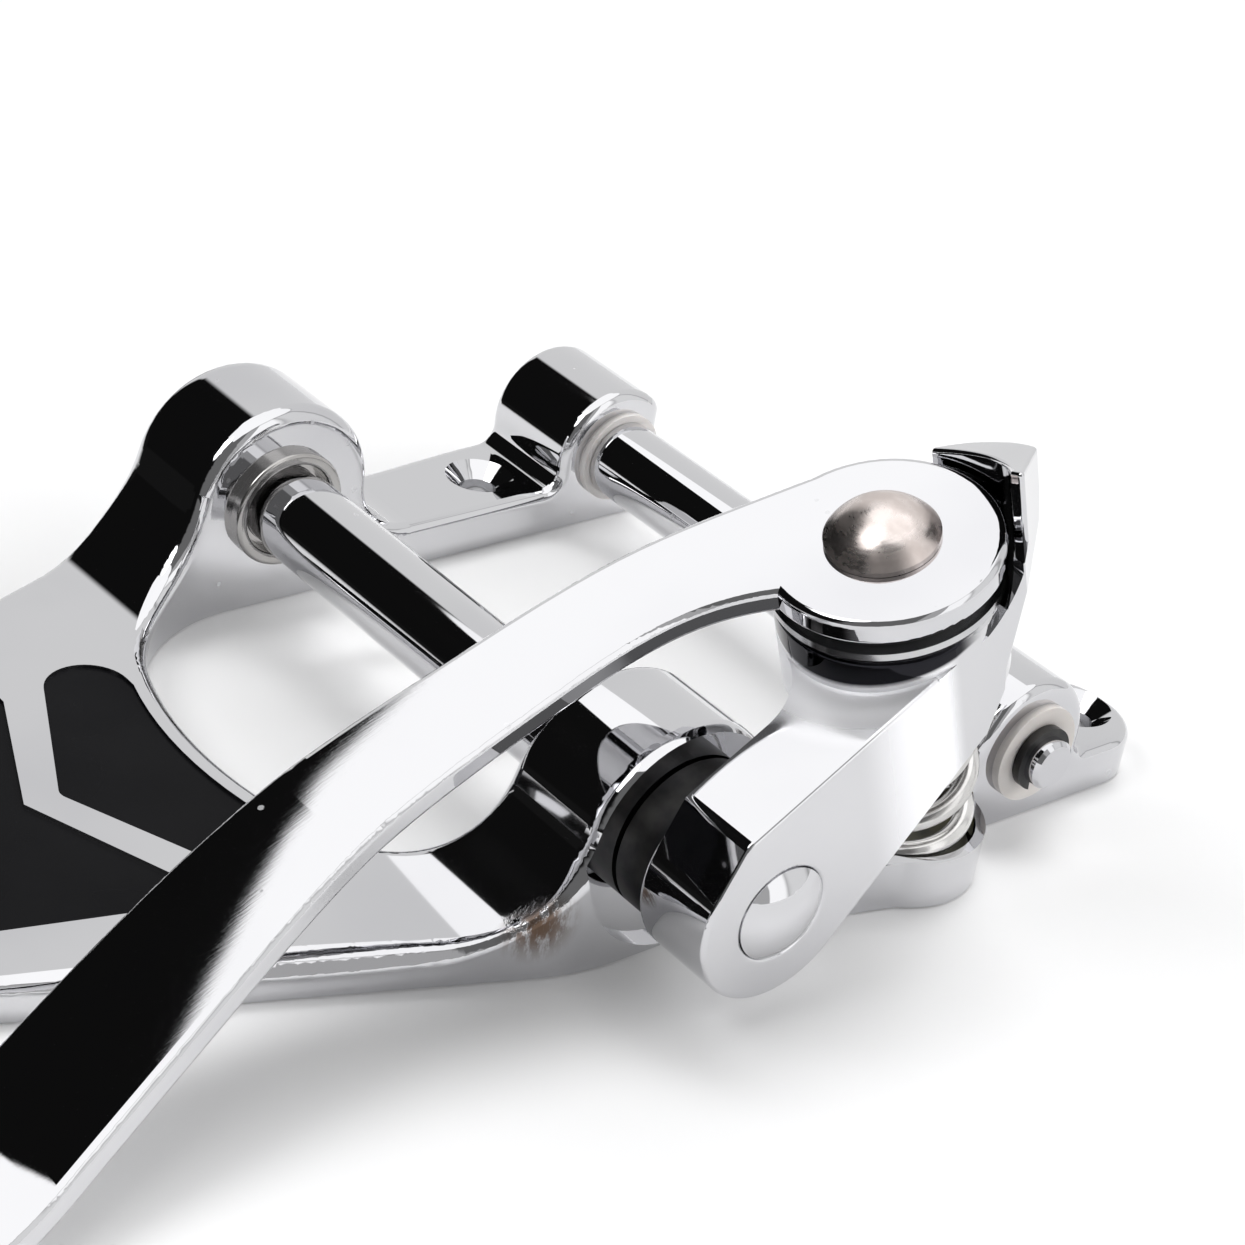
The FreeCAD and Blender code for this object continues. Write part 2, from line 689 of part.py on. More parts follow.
def nose_body():
    """The upstand in front of the arm's eye: a horn at its bass end, a ledge and a falling rim beside it."""
    def at(u, w):
        return vec(u, w, -body_drop)

    edges = [
        line(at(0, -ramp_back), at(face_u, -ramp_back)),
        line(at(face_u, -ramp_back), at(face_u, nose_side_w)),
        line(at(face_u, nose_side_w), at(nose_corner_u, nose_corner_w)),
        arc(at(nose_corner_u, nose_corner_w), at(nose_round_u, nose_round_w), at(nose_tip_u, nose_tip_w)),
        line(at(nose_tip_u, nose_tip_w), at(0, -ramp_back)),
    ]
    body = Part.Face(Part.Wire(edges)).extrude(up * far)
    body = body.cut(post(0, 0, -seat_drop, far, nose_r))
    lid = block(-far, far, -far, far, 0, far)
    lid.Placement = FreeCAD.Placement(vec(nose_mid_u, nose_mid_w, nose_mid_height),
                                      FreeCAD.Rotation(up, vec(-nose_rise_share, nose_fall_share, 1)))
    body = body.cut(lid)
    above = [
        arc(vec(-far, -ramp_back, -ramp_back_drop), vec(-far, ramp_mid, -ramp_mid_drop),
            vec(-far, ledge_back, -ramp_front_drop)),
        line(vec(-far, ledge_back, -ramp_front_drop), vec(-far, ledge_back, -ledge_drop)),
        line(vec(-far, ledge_back, -ledge_drop), vec(-far, ledge_front, -ledge_drop)),
        line(vec(-far, ledge_front, -ledge_drop), vec(-far, ledge_front, far)),
        line(vec(-far, ledge_front, far), vec(-far, -ramp_back, far)),
        line(vec(-far, -ramp_back, far), vec(-far, -ramp_back, -ramp_back_drop)),
    ]
    body = body.cut(Part.Face(Part.Wire(above)).extrude(vec(2 * far, 0, 0)))
    toe = far * nose_taper_share
    taper = prism_x(((nose_corner_w, -nose_taper_drop), (nose_corner_w - toe, -nose_taper_drop - far),
                     (far, -nose_taper_drop - far), (far, -nose_taper_drop)), -far, far)
    run_u = nose_corner_u - face_u
    run_w = nose_corner_w - nose_side_w
    turn = math.degrees(math.atan2(-run_u, run_w)) - 90
    out = (face_u * run_w - nose_side_w * run_u) / math.hypot(run_u, run_w)
    side_toe = far * side_taper_share
    side_taper = prism_x(((out, -side_taper_drop), (out - side_toe, -side_taper_drop - far),
                          (far, -side_taper_drop - far), (far, -side_taper_drop)), -far, far)
    side_taper.rotate(vec(0, 0, 0), up, turn)
    return body.cut([taper, side_taper])


bracket = joined([neck, hub, seat, blend, nose_body()])
bracket = bracket.cut(post(-pocket_shift, 0, -far, -pocket_drop, pocket_r))
bracket = bracket.cut(post(0, 0, -far, far, pivot_bolt_d / 2))
bracket = bracket.cut(rod_x(-far, far, hub_w, hub_h, shaft_r)).removeSplitter()


def middle(edge):
    return edge.valueAt(sum(edge.ParameterRange) / 2)


def nose_rim(edge):
    """The nose's upper edges on the arm's side and its corners."""
    return middle(edge).x > 0 and edge.BoundBox.ZMax > 0 and edge.BoundBox.YMin > ledge_front - slip_gap


def deck_rim(edge):
    """The deck's edge towards the tail."""
    spot = middle(edge)
    return abs(spot.z - deck_end[1]) < slip_gap and abs(spot.y - deck_end[0]) < slip_gap


def face_rim(edge):
    """The long edges of the outer face and the mouth of the bore."""
    box = edge.BoundBox
    return box.XMin > face_u - slip_gap and box.YLength + box.ZLength > hub_r


for chosen, radius in ((nose_rim, nose_round), (deck_rim, deck_round), (face_rim, face_round)):
    picked = [edge for edge in bracket.Edges if chosen(edge)]
    print("bracket edges rounded", len(picked))
    bracket = bracket.makeFillet(radius, picked)
save("arm_bracket", tilted(bracket))

# Washers, pivot bolt and nut on the swivel axis
bolt_r = pivot_bolt_d / 2
friction_top = -arm_thickness - slip_gap
flat_top = friction_top - friction_washer
spring_top = flat_top - flat_washer


def washer(r, z0, z1):
    return tilted(post(0, 0, z0, z1, r).cut(post(0, 0, -far, far, bolt_r)))


save("friction_washer", washer(friction_washer_r, flat_top, friction_top))
save("flat_washer", washer(flat_washer_r, spring_top, flat_top))
save("spring_washer", washer(spring_washer_r, -seat_drop, spring_top))
nut_top = -pocket_drop
nut_bottom = nut_top - nut_height
nut_ring = [round_point(0, 0, nut_r, i * 360 / nut_sides) for i in range(nut_sides)]
save("pivot_nut", tilted(prism(nut_ring, nut_bottom, nut_top).cut(post(0, 0, -far, far, bolt_r))))
dome_ball_r = (dome_r ** 2 + dome_height ** 2) / (2 * dome_height)
dome_base = slip_gap + dome_rim
dome_ball = Part.makeSphere(dome_ball_r, vec(0, 0, dome_base + dome_height - dome_ball_r))
dome = dome_ball.common(post(0, 0, dome_base, far, dome_ball_r))
shank = post(0, 0, nut_bottom - bolt_past_nut, dome_base, bolt_r)
save("pivot_bolt", tilted(joined([dome, post(0, 0, slip_gap, dome_base, dome_r), shank])))


# Arm: its plan crossed with its bent side view
def curve(points):
    spline = Part.BSplineCurve()
    spline.interpolate([vec(u, w, -far) for u, w in points])
    return spline.toShape()


def arm_plan():
    tip_bass = arm_bass_points[-1]
    tip_treble = arm_treble_points[-1]
    end = arc(vec(*tip_bass, -far), vec(*arm_tip, -far), vec(*tip_treble, -far))
    root = line(vec(*arm_treble_points[0], -far), vec(*arm_bass_points[0], -far))
    outline = Part.Wire(Part.__sortEdges__([curve(arm_bass_points), end, curve(arm_treble_points), root]))
    grip = Part.Face(outline).extrude(vec(0, 0, 2 * far))
    return joined([grip, post(0, 0, -far, far, eye_r)])


def arm_side():
    """A strip of one thickness: level, bent down a little, then bent back to the frame's level."""
    sag = math.radians(arm_sag_degrees)
    level = math.radians(pivot_degrees)

    def path(depth):
        w0 = -arm_flat
        h0 = -depth
        inner = arm_sag_r - depth
        w1 = w0 - inner * math.sin(sag)
        h1 = h0 - inner * (1 - math.cos(sag))
        m1 = (w0 - inner * math.sin(sag / 2), h0 - inner * (1 - math.cos(sag / 2)))
        w2 = w1 - arm_slope_run * math.cos(sag)
        h2 = h1 - arm_slope_run * math.sin(sag)
        outer = arm_level_r + depth
        w_c = w2 - outer * math.sin(sag)
        h_c = h2 + outer * math.cos(sag)
        a3 = level
        m3 = (w_c - outer * math.sin((a3 - sag) / 2), h_c - outer * math.cos((a3 - sag) / 2))
        w3 = w_c - outer * math.sin(a3)
        h3 = h_c - outer * math.cos(a3)
        w4 = w3 - far * math.cos(a3)
        h4 = h3 + far * math.sin(a3)
        at = [(far, h0), (w0, h0), m1, (w1, h1), (w2, h2), m3, (w3, h3), (w4, h4)]
        return [vec(-far, w, h) for w, h in at]

    def chain(p):
        return [line(p[0], p[1]), arc(p[1], p[2], p[3]), line(p[3], p[4]), arc(p[4], p[5], p[6]),
                line(p[6], p[7])]

    top = path(0)
    low = path(arm_thickness)
    edges = chain(top) + [line(top[7], low[7])] + chain(low) + [line(top[0], low[0])]
    return Part.Face(Part.Wire(Part.__sortEdges__(edges))).extrude(vec(2 * far, 0, 0))


arm = arm_plan().common(arm_side()).removeSplitter()


def rim(shape, facing):
    """The edges between a shape's upright walls and its faces that look up (1) or down (-1)."""
    found = []
    for edge in shape.Edges:
        slopes = []
        for face in shape.ancestorsOfType(edge, Part.Face):
            u0, u1, v0, v1 = face.ParameterRange
            slopes.append(face.normalAt((u0 + u1) / 2, (v0 + v1) / 2).z * facing)
        if len(slopes) == 2 and abs(min(slopes)) < level_share and max(slopes) > 1 / 2:
            found.append(edge)
    return found


arm = arm.makeFillet(arm_top_round, rim(arm, 1))
arm = arm.makeFillet(arm_low_round, rim(arm, -1))
arm = arm.cut(post(0, 0, -far, far, bolt_r + running_gap))
save("arm", tilted(arm))

# Main spring: one wire wound about an axis that bends from the cup to the pocket
pad_top = cup_floor + pad_thickness
save("spring_pad", post(cup_x, cup_y, cup_floor, pad_top, cup_pocket_r - pad_gap))
wire_r = wire_d / 2
low_end = vec(cup_x, cup_y, pad_top + wire_r + seat_gap)
high_end = swivel.multVec(vec(-pocket_shift, 0, -pocket_drop - wire_r - seat_gap))
turns = 2 * end_turns + middle_turns
reach = (high_end - low_end).Length


def ease(s):
    s = min(max(s, 0), 1)
    return s * s * (3 - 2 * s)


def weight(turn):
    into = ease((turn - end_turns + ease_turns) / ease_turns)
    out = ease((turns - end_turns + ease_turns - turn) / ease_turns)
    return into * out


slices = 400
weights = [weight((i + 1 / 2) * turns / slices) for i in range(slices)]
rise = (reach - end_pitch * turns) / (sum(weights) * turns / slices)


def height_share(turn):
    """Share of the axis climbed after a number of turns: slow at both ends, steady between."""
    steps = turn / turns * slices
    whole = int(steps)
    climbed = sum(weights[:whole]) + (weights[whole] * (steps - whole) if whole < slices else 0)
    return (end_pitch * turn + rise * climbed * turns / slices) / reach


def axis_point(s):
    b0 = (1 + 2 * s) * (1 - s) ** 2
    b1 = s * (1 - s) ** 2
    b2 = s * s * (3 - 2 * s)
    b3 = s * s * (s - 1)
    return low_end * b0 + up * (reach * b1) + high_end * b2 + axis * (reach * b3)


def wire_point(turn):
    s = height_share(turn)
    nudge = 1e-3
    ahead = (axis_point(s + nudge) - axis_point(s - nudge)).normalize()
    across = vec(1, 0, 0) - ahead * ahead.x
    across.normalize()
    side = ahead.cross(across)
    a = 2 * math.pi * turn + spring_start
    return axis_point(s) + across * (coil_r * math.cos(a)) + side * (coil_r * math.sin(a))


def heading(turn):
    nudge = 1e-3
    return (wire_point(min(turn + nudge, turns)) - wire_point(max(turn - nudge, 0))).normalize()


def half_arc(p, d, q):
    """The circular arc from p, leaving along d, that ends at q."""
    chord = q - p
    run = chord.Length
    chord.normalize()
    lift = d - chord * d.dot(chord)
    bend = math.acos(min(1, d.dot(chord)))
    lift.normalize()
    return arc(p, (p + q) / 2 + lift * (run / 2 * math.tan(bend / 2)), q)


def biarc(p, d, q, e):
    """Two arcs from p along d to q along e, sharing their heading where they meet."""
    v = q - p
    both = d + e
    k = 2 * (1 - d.dot(e))
    along = v.dot(both)
    reach_d = (math.sqrt(along * along + k * v.dot(v)) - along) / k
    meet = (p + d * reach_d + q - e * reach_d) / 2
    first = half_arc(p, d, meet)
    second = half_arc(q, e * -1, meet)
    return [first, second]


spring_start = math.radians(spring_start_degrees)
marks = [i * turns / spring_steps for i in range(spring_steps + 1)]
edges = []
for one, two in zip(marks, marks[1:]):
    edges += biarc(wire_point(one), heading(one), wire_point(two), heading(two))
path = Part.Wire(Part.__sortEdges__(edges))
ring = Part.Wire([Part.Circle(wire_point(0), heading(0), wire_r).toShape()])
spring = path.makePipeShell([ring], True, False)
save("main_spring", spring)
samples = [wire_point(i * turns / slices) for i in range(slices + 1)]
apart = int(slices / turns / 2)
pairs = [(i, j) for i in range(slices + 1) for j in range(i + apart, slices + 1)]
least = min((samples[i] - samples[j]).Length for i, j in pairs)
print("spring's least gap to itself", round(least - wire_d, 2), "reach", round(reach, 2))
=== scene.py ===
# %% [markdown]
# A chromed vibrato tailpiece for an electric guitar, photographed on a white table.
# The solids come in as a fixed frame, in metres, with +Z up, +Y towards the neck and +X towards the treble
# side. This lesson gives every solid its finish, winds the spring anew, and sets up the little studio that
# the chrome mirrors. We load first.

# %% Load the solids
import bpy
import math
from mathutils import Euler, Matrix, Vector


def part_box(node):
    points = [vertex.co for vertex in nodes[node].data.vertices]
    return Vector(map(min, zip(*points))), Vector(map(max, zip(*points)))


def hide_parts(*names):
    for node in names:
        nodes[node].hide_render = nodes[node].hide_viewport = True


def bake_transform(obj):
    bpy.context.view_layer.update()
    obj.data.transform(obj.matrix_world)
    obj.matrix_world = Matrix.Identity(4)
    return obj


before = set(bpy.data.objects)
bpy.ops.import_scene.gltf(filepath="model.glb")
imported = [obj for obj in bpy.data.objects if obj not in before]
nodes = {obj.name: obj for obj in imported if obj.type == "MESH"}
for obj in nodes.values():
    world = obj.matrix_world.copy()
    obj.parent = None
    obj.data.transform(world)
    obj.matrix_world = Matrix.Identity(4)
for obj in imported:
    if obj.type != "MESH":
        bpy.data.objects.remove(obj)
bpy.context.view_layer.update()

# %% [markdown]
# The photograph looks down on the treble side from behind the arm. Its camera was found by matching the
# circles of the bosses and the edges of the arm, so it needs no shift, only a place, a turn and a lens.

# %% Camera
camera = bpy.data.objects.new("studio_camera", bpy.data.cameras.new("studio_camera"))
bpy.context.scene.collection.objects.link(camera)
camera.location = (0.19982393, -0.21155045, 0.16535114)
camera.rotation_euler = Euler([math.radians(turn) for turn in (59.59818, -8.53459, 51.25616)], "XYZ")
camera.data.sensor_width = 36
camera.data.lens = 87.899
camera.data.clip_start = 0.01
bpy.context.scene.camera = camera
bpy.context.scene.view_settings.view_transform = "Standard"
print("camera at", tuple(camera.location))

# %% [markdown]
# A finish is a small graph of nodes. Written by hand each node takes four lines, and the sums get lost among
# them, so two helpers come first. A Reading wraps one socket, and plus, minus and times on it add
# Math nodes. A Finish holds one graph, and its node method makes any node: settings first, then sockets.

# %% Readings and finishes
class Reading:
    """One output socket of a graph, on which sums add Math nodes."""

    def __init__(self, graph, socket):
        self.graph = graph
        self.socket = socket

    def sum_with(self, operation, first, second=None):
        made = self.graph.nodes.new("ShaderNodeMath")
        made.operation = operation
        for place, value in enumerate((first, second)):
            if isinstance(value, Reading):
                self.graph.links.new(value.socket, made.inputs[place])
            elif value is not None:
                made.inputs[place].default_value = value
        return Reading(self.graph, made.outputs[0])

    def __add__(self, other):
        return self.sum_with("ADD", self, other)

    def __radd__(self, other):
        return self.sum_with("ADD", other, self)

    def __sub__(self, other):
        return self.sum_with("SUBTRACT", self, other)

    def __rsub__(self, other):
        return self.sum_with("SUBTRACT", other, self)

    def __mul__(self, other):
        return self.sum_with("MULTIPLY", self, other)

    def under(self, limit):
        return self.sum_with("LESS_THAN", self, limit)

    def least(self, other):
        return self.sum_with("MINIMUM", self, other)

    def most(self, other):
        return self.sum_with("MAXIMUM", self, other)

    def root(self):
        return self.sum_with("SQRT", self)

    def wave(self):
        return self.sum_with("SINE", self)

    def degrees_from(self, ahead):
        return self.sum_with("ARCTAN2", self, ahead) * (180 / math.pi)


class Finish:
    """One node graph, of a material or of the world."""

    def __init__(self, graph):
        self.graph = graph
        graph.nodes.clear()

    def node(self, kind, settings=None, sockets=None, out=0):
        made = self.graph.nodes.new(kind)
        for name, value in (settings or {}).items():
            setattr(made, name, value)
        for name, value in (sockets or {}).items():
            if isinstance(value, Reading):
                self.graph.links.new(value.socket, made.inputs[name])
            else:
                made.inputs[name].default_value = value
        return Reading(self.graph, made.outputs[out]) if made.outputs else None

    def place(self, scale=(1, 1, 1), centre=(0, 0, 0), turn=(0, 0, 0)):
        """Object coordinates in metres, moved to a centre, turned and stretched."""
        here = self.node("ShaderNodeTexCoord", out="Object")
        moved = self.node("ShaderNodeVectorMath", {"operation": "SUBTRACT"}, {0: here, 1: centre})
        return self.node("ShaderNodeMapping", sockets={"Vector": moved, "Rotation": turn, "Scale": scale})

    def cloud(self, scale, detail=2.0, stretch=(1, 1, 1), rough=0.5):
        where = self.place(stretch)
        return self.node("ShaderNodeTexNoise", sockets={"Vector": where, "Scale": scale, "Detail": detail,
                                                        "Roughness": rough})

    def specks(self, scale, size, share):
        """Round specks: the cells of a grain whose own random number is under a share, near their middles."""
        where = self.place()
        grain = {"Vector": where, "Scale": scale}
        near = self.node("ShaderNodeTexVoronoi", sockets=grain, out="Distance")
        tint = self.node("ShaderNodeTexVoronoi", sockets=grain, out="Color")
        chance = self.node("ShaderNodeSeparateColor", sockets={"Color": tint}, out="Red")
        return near.under(size) * chance.under(share)

    def band(self, value, low, high):
        """0 under low, 1 over high, smooth between."""
        return self.node("ShaderNodeMapRange", {"interpolation_type": "SMOOTHSTEP"},
                         {"Value": value, "From Min": low, "From Max": high})

    def within(self, value, low, high, soft_low, soft_high):
        """1 between low and high, 0 outside, with a soft edge of its own on either side."""
        rise = self.band(value, low - soft_low, low + soft_low)
        return rise * (1 - self.band(value, high - soft_high, high + soft_high))

    def axes(self, where, names):
        """Some of the coordinates of a place, one reading each."""
        return [self.node("ShaderNodeSeparateXYZ", sockets={"Vector": where}, out=name) for name in names]

    def along(self, where, axis):
        """How far a place or a direction lies along an axis."""
        sockets = {0: where, 1: tuple(axis)}
        return self.node("ShaderNodeVectorMath", {"operation": "DOT_PRODUCT"}, sockets, "Value")

    def tint(self, first, second, share):
        made = self.graph.nodes.new("ShaderNodeMix")
        made.data_type = "RGBA"
        for socket, value in ((made.inputs[0], share), (made.inputs[6], first), (made.inputs[7], second)):
            if isinstance(value, Reading):
                self.graph.links.new(value.socket, socket)
            else:
                socket.default_value = value
        return Reading(self.graph, made.outputs[2])

    def relief(self, height, depth):
        """A normal from a height of 0 to 1 over a depth in metres."""
        return self.node("ShaderNodeBump", sockets={"Height": height, "Strength": 1.0, "Distance": depth})

    def end(self, shader, kind="ShaderNodeOutputMaterial"):
        self.node(kind, sockets={"Surface": shader})


def colour(red, green, blue):
    return (red, green, blue, 1)


def new_finish(name):
    made = bpy.data.materials.new(name)
    made.use_nodes = True
    return made, Finish(made.node_tree)


print("helpers ready")

# %% [markdown]
# Chrome has no colour of its own to speak of: it shows the room. So the room comes before the finishes.
# The floor is a pale sheet that fades out at its rim into the white of the world. Seen by the camera, or in
# a mirror, a small part of its light is its own, so that it looks white and still keeps the soft shadow. The
# sheet ends a hand's breadth past the tail: what stands low on that side mirrors a dark edge there.

# %% Floor
floor_half = 1.1
floor_at = (0, -0.04, -0.0002)
own_light = 0.08
edge_way = (-0.64, -0.77, 0)
edge_from, edge_to = 0.07, 0.13
fade_from, fade_to = 0.55, 1.05


def make_floor():
    mesh = bpy.data.meshes.new("table_top")
    corners = [(x * floor_half, y * floor_half, 0) for x, y in ((-1, -1), (1, -1), (1, 1), (-1, 1))]
    mesh.from_pydata(corners, [], [(0, 1, 2, 3)])
    floor = bpy.data.objects.new("table_top", mesh)
    bpy.context.scene.collection.objects.link(floor)
    floor.location = floor_at
    made, graph = new_finish("white_table")
    here = graph.node("ShaderNodeTexCoord", out="Object")
    far = graph.node("ShaderNodeVectorMath", {"operation": "LENGTH"}, {0: here}, out="Value")
    paper = graph.tint(colour(0.95, 0.95, 0.955), colour(0.98, 0.98, 0.982), graph.cloud(9, 3))
    sheet = graph.node("ShaderNodeBsdfDiffuse", sockets={"Color": paper})
    glow = graph.node("ShaderNodeEmission", sockets={"Color": colour(1, 1, 1), "Strength": 1.0})
    unlit = graph.node("ShaderNodeEmission", sockets={"Color": colour(0.01, 0.01, 0.01), "Strength": 1.0})
    open_air = graph.node("ShaderNodeBsdfTransparent")
    camera_ray = graph.node("ShaderNodeLightPath", out="Is Camera Ray")
    glossy_ray = graph.node("ShaderNodeLightPath", out="Is Glossy Ray")
    clear_ray = graph.node("ShaderNodeLightPath", out="Is Transmission Ray")
    seen = camera_ray.most(glossy_ray).most(clear_ray)
    past_edge = glossy_ray * graph.band(graph.along(here, edge_way), edge_from, edge_to)
    lit = graph.node("ShaderNodeMixShader", sockets={0: seen * own_light, 1: sheet, 2: glow})
    lit = graph.node("ShaderNodeMixShader", sockets={0: past_edge, 1: lit, 2: unlit})
    faded = graph.band(far, fade_from, fade_to)
    graph.end(graph.node("ShaderNodeMixShader", sockets={0: faded, 1: lit, 2: open_air}))
    mesh.materials.append(made)
    return floor


print("floor", make_floor().name)

# %% [markdown]
# The mirrors in the photograph tell what stood round the table. Lamps could be objects, but what a mirror
# shows of them is only a direction, so the whole room is painted on the world. A direction is found by its
# side, in degrees from the neck towards the treble, and by its height.

# %% Directions into the room
def heading(side, height):
    a = math.radians(side)
    e = math.radians(height)
    return Vector((math.sin(a) * math.cos(e), math.cos(a) * math.cos(e), math.sin(e)))


class Room:
    """The world's graph with the side and the height of each direction."""

    def __init__(self, graph):
        self.graph = graph
        self.way = graph.node("ShaderNodeTexCoord", out="Generated")
        x, y, z = [graph.along(self.way, axis) for axis in ((1, 0, 0), (0, 1, 0), (0, 0, 1))]
        self.side = x.degrees_from(y)
        self.height = z.degrees_from((x * x + y * y).root())

    def sides(self, low, high, soft_low, soft_high):
        return self.graph.within(self.side, low, high, soft_low, soft_high)

    def heights(self, low, high, soft=3):
        return self.graph.within(self.height, low, high, soft, soft)

    def below(self, low, high):
        return 1 - self.graph.band(self.height, low, high)


print("straight up", tuple(heading(0, 90)))

# %% [markdown]
# What the mirrors show: a white ceiling of soft boxes over everything, a bright wall on the treble side,
# paler ones towards the neck and the bass, a dim room behind the camera and a small lamp above the tail. Low
# on the tail side the room is dark, and that darkness draws the black bands on the arm and on the bosses. The
# ceiling's rim is 57 degrees up, comes lower on the bass side, and is lowest towards the tail.

# %% Faces in the mirrors
def room_faces(room, table, wall_treble):
    graph = room.graph
    side = room.side
    rim_high, rim_bass, rim_tail = 57, 8.5, 13
    climb = ((-98 - side) * 0.2).most(0).least(2.6)
    rim = rim_high - room.sides(-136, -44, 4, 7) * (rim_bass - climb)
    rim = rim - (1 - graph.band(side, -146, -136)) * rim_tail
    ceiling = graph.band(room.height - rim, -0.2, 0.2)
    wall_neck = room.sides(24, 64, 8, 8) * room.below(50, 62)
    wall_near = room.sides(88, 108, 2, 3) * room.below(50, 62)
    wall_bass = room.sides(-82, 24, 3, 6) * room.below(55, 60)
    room_near = room.sides(106, 168, 3, 6)
    lamp_edge, lamp_core = [math.cos(math.radians(reach)) for reach in (17, 12)]
    lamp = graph.band(graph.along(room.way, heading(-170, 50)), lamp_edge, lamp_core)
    dusk = 0.006
    faces = (ceiling * 1.42).most(wall_treble * 1.40).most(wall_neck * 0.95).most(wall_bass * 0.87)
    return faces.most(wall_near * 0.52).most(room_near * 0.17).most(lamp * 4.5).most(table) + dusk


print("faces ready")

# %% [markdown]
# A mirror shows a lamp's face, which is about as white as paper, while the light that falls on dull things
# is the lamp's whole strength. So dull things get a room of their own: four soft boxes, one high, one behind,
# one over the tail and one low towards the neck, which together draw the shadow in front, and a little of
# the treble wall.

# %% Light on dull things, and the world
def room_light(room, table, wall_treble):
    middle = room.heights(32, 58)
    soft_top = room.sides(-90, 0, 4, 4) * room.heights(58, 75)
    soft_back = room.sides(-45, 0, 4, 4) * middle
    soft_tail = (1 - room.graph.band(room.side, -139, -131)) * middle
    soft_neck = room.sides(0, 45, 4, 4) * room.heights(8, 32)
    shed = soft_top * 6.6 + soft_back * 3.9 + soft_tail * 4.4 + soft_neck * 6.6 + wall_treble * 1.4
    return shed.most(table)


def make_world():
    world = bpy.data.worlds.new("studio")
    bpy.context.scene.world = world
    world.use_nodes = True
    graph = Finish(world.node_tree)
    room = Room(graph)
    wall_treble = room.sides(62, 89, 6, 1.5) * room.below(50, 62)
    dark_edge = room.sides(-164, -110, 4, 4) * graph.band(room.height, -16, -9)
    table = room.below(-8, -2) * (1 - dark_edge)
    camera_ray = graph.node("ShaderNodeLightPath", out="Is Camera Ray")
    glossy_ray = graph.node("ShaderNodeLightPath", out="Is Glossy Ray")
    mirrored = glossy_ray * room_faces(room, table, wall_treble)
    other = mirrored + (1 - glossy_ray) * room_light(room, table, wall_treble)
    strength = camera_ray + (1 - camera_ray) * other
    sky = graph.node("ShaderNodeBackground", sockets={"Color": colour(1, 1, 1), "Strength": strength})
    graph.end(sky, "ShaderNodeOutputWorld")
    return world


print("world", make_world().name)

# %% [markdown]
# Three marks belong to one piece of chrome each. The arm's top is crowned across its width, so that light and
# dark part along a slanting line. The bracket's deck is satin beside the arm's seat, and there its colour is
# painted lighter, a painted brightening; the seat's wall under the washers is painted dark, a painted shade.
# The casting has a brown, pitted stain near the top of its treble wall.

# %% Marks of single pieces
swivel_at = Vector((0.0427, -0.0318, 0.041))
swivel_lean = math.radians(21)
deck_fall = 0.179
arm_lean, arm_middle, arm_bend = 0.29, 0.00825, 0.8
stain_at, stain_reach = (0.0405, -0.0620, 0.0060), 0.0050


def arm_crown(graph):
    """How far the arm's top falls away from the middle of its width."""
    across_x, across_y = graph.axes(graph.place(), "XY")
    across = across_x + across_y * arm_lean - arm_middle
    return across * across * arm_bend


def seat_satin_and_painted_light(graph):
    """Where the bracket's deck is satin and its colour painted lighter (painted brightening), and where the
    seat's wall is painted dark (painted shade).
    """
    here = graph.place(centre=tuple(swivel_at), turn=(-swivel_lean, 0, 0))
    u, w, h = graph.axes(here, "XYZ")
    far = (u * u + w * w).root()
    over_deck = h - w * deck_fall
    # The deck beside the seat is satin, and its colour is painted lighter there: a painted brightening.
    deck_satin_and_painted_light = (1 - graph.band(far, 0.01224, 0.017)) * (1 - graph.band(over_deck, -0.0070, -0.0067))
    # Painted shade: the seat's wall under the washers is darkened in colour.
    seat_wall_painted_shade = (1 - graph.band(far, 0.0112, 0.0117)) * graph.band(over_deck, -0.0068, -0.0064)
    seat_wall_painted_shade = seat_wall_painted_shade * (1 - graph.band(h, -0.0055, -0.0053))
    return deck_satin_and_painted_light * graph.band(w * -1, 0.001, 0.003), seat_wall_painted_shade * graph.band(w * -1, -0.002, 0.001)


def stain_mark(graph):
    here = graph.node("ShaderNodeTexCoord", out="Object")
    away = graph.node("ShaderNodeVectorMath", {"operation": "DISTANCE"}, {0: here, 1: stain_at}, out="Value")
    grain = graph.cloud(900, 4.0, (1, 1, 0.35), 0.7)
    return (1 - graph.band(away, stain_reach * 0.35, stain_reach)) * graph.band(grain, 0.37, 0.54)


print("seat at", tuple(swivel_at), "stain at", stain_at)

# %% [markdown]
# Chrome on a polished casting. A perfect mirror would look like a drawing, so three faults go in. The
# polishing wheel leaves a slow swell, a centimetre wide and a hundredth of a millimetre deep, which makes the
# reflections wander. Wiping leaves hairlines, and dust dulls the mirror in small specks.

